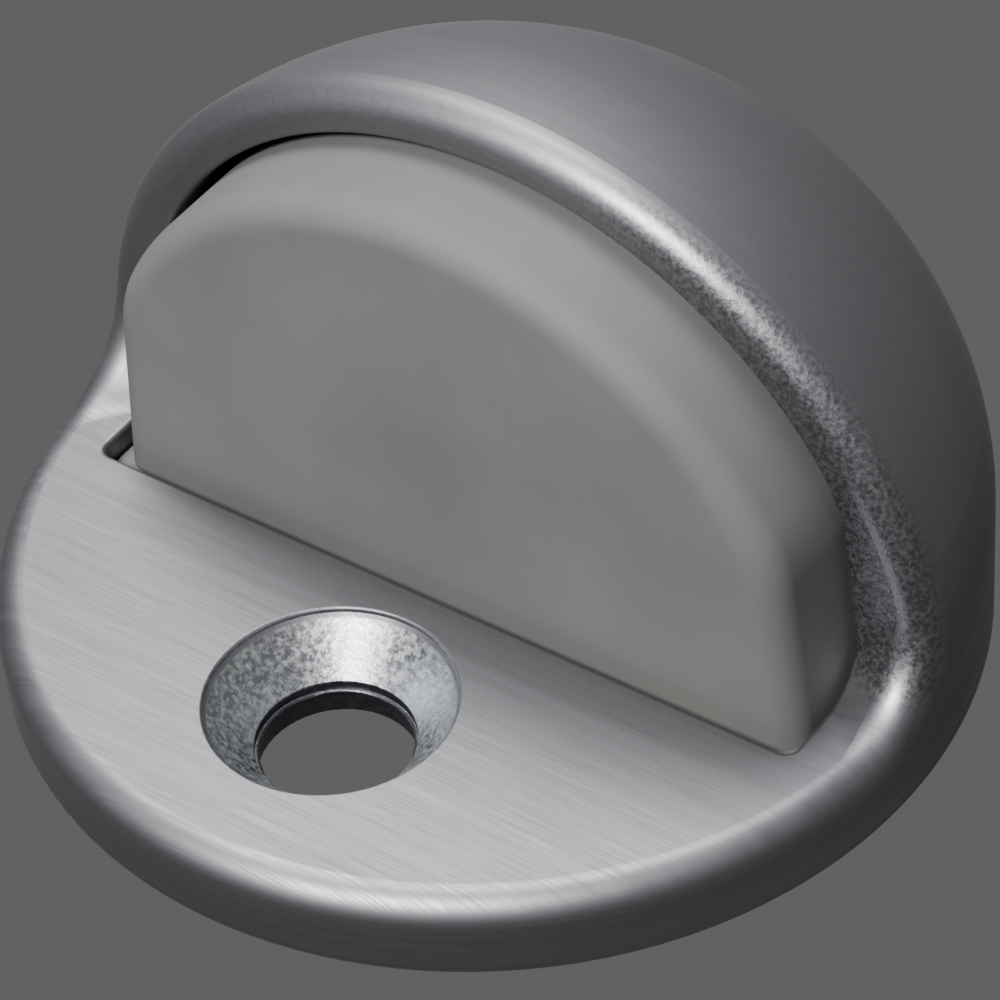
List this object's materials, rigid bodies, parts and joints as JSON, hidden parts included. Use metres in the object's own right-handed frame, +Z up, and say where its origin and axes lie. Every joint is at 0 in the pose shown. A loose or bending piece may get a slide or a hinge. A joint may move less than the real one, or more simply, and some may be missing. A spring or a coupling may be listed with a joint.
{
  "type": "dome floor door stop",
  "caption": "Round flange with a countersunk screw hole under a scooped dome hood, with a D-shaped rubber bumper facing the door.",
  "frame": {"origin": "middle of the round base, on the floor", "axes": "+Z up, -Y towards the arriving door, where the bumper faces; X across, symmetric left to right"},
  "size_m": [0.0444, 0.0444, 0.0268],
  "materials": {
    "housing": "satin brushed chrome plate on a casting",
    "bumper": "matt moulded rubber, warm grey",
    "retainer_plate": "zinc plated sheet steel",
    "retainer_screws": "zinc plated steel"
  },
  "bodies": {
    "root": {"housing": "housing", "bumper": "bumper", "retainer_plate": "retainer_plate", "retainer_screws": "retainer_screws"}
  },
  "joints": []
}
